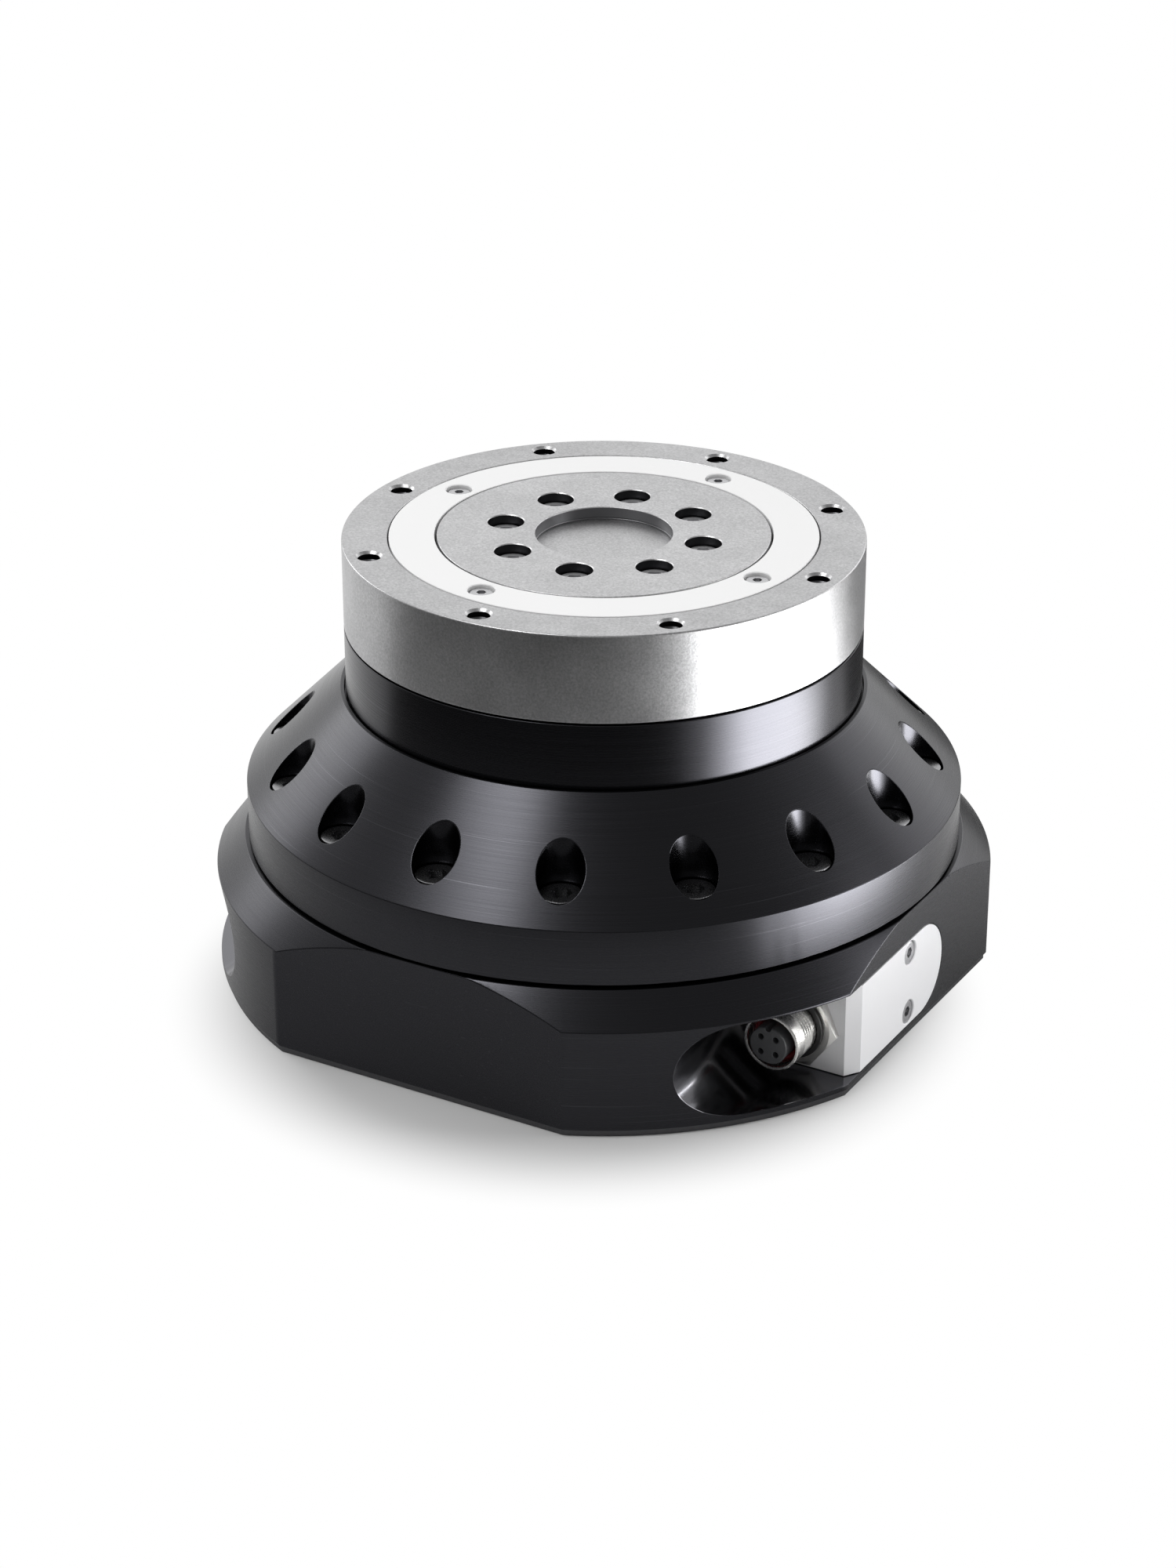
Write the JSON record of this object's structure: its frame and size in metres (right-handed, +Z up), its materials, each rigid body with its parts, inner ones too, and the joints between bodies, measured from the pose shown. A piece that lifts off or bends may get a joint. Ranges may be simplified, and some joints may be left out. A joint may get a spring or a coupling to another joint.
{
  "type": "rotary platform",
  "caption": "Direct-drive rotary platform: silver turning top with tapped holes on a black cone-shaped housing and flat-sided base with round connectors in milled side pockets.",
  "frame": {"origin": "centre of the closing plate's underside, on the axis of rotation", "axes": "+Z up the axis of rotation, -Y towards the bare front flat, +X and -X towards the flats with the connector pockets"},
  "size_m": [0.2234, 0.2234, 0.141],
  "materials": {
    "anodised_silver": "fine bead-blasted, clear anodised",
    "disc_grey": "bead-blasted, clear anodised",
    "cover_white": "smooth, semi-matt",
    "black_anodised": "turned, black anodised",
    "plate_dark": "black anodised, satin",
    "bright_screw": "stainless",
    "black_screw": "black oxide, worn bright",
    "bracket_satin": "white satin paint",
    "nickel": "bright nickel plate",
    "insert_grey": "moulded",
    "red_seal": "O-ring rubber",
    "black_rubber": "matt",
    "bearing_steel": "ground",
    "steel": "turned",
    "magnet": "nickel-plated magnet",
    "lamination": "stacked sheet",
    "copper": "enamelled copper wire",
    "cage_plastic": "moulded spacer",
    "board_green": "solder mask",
    "component_dark": "moulded",
    "brass_post": "turned",
    "encoder_glass": "etched steel scale"
  },
  "bodies": {
    "housing": {"base_housing": "black_anodised", "bottom_plate": "plate_dark", "bottom_plate_screws": "black_screw", "cone_housing": "black_anodised", "cone_housing_screws": "black_screw", "neck_ring": "black_anodised", "neck_ring_screws": "black_screw", "bearing_outer_ring": "bearing_steel", "bearing_retainer": "steel", "retainer_screws": "black_screw", "platform_seal": "black_rubber", "stator_core": "lamination", "stator_windings": "copper", "shaft_seal": "black_rubber", "encoder_read_head": "component_dark", "drive_board": "board_green", "board_components": "component_dark", "board_standoffs": "brass_post", "bracket_right": "bracket_satin", "bracket_screws_right": "bright_screw", "connector_shell_right": "nickel", "connector_insert_right": "insert_grey", "connector_nut_right": "nickel", "connector_seals_right": "red_seal", "bracket_left": "bracket_satin", "bracket_screws_left": "bright_screw", "connector_shell_left": "nickel", "connector_insert_left": "insert_grey", "connector_nut_left": "nickel", "connector_seals_left": "red_seal"},
    "platform": {"platform_ring": "anodised_silver", "cover_ring": "cover_white", "cover_ring_screws": "bright_screw", "hub_disc": "disc_grey", "hub_disc_screws": "black_screw", "rotor_shaft": "steel", "bearing_inner_ring": "bearing_steel", "rotor_magnets": "magnet", "encoder_disc": "encoder_glass"},
    "bearing_rollers_and_spacers": {"bearing_rollers": "bearing_steel", "bearing_spacers": "cage_plastic"}
  },
  "joints": [
    {"name": "platform_spin", "type": "hinge", "parent": "housing", "child": "platform", "pos_m": [0, 0, 0.1017], "axis": [0, 0, 1], "continuous": true},
    {"name": "roller_orbit", "type": "hinge", "parent": "housing", "child": "bearing_rollers_and_spacers", "pos_m": [0, 0, 0.1017], "axis": [0, 0, 1], "continuous": true}
  ],
  "couplings": [
    {"joint": "roller_orbit", "follows": "platform_spin", "ratio": 0.476}
  ]
}
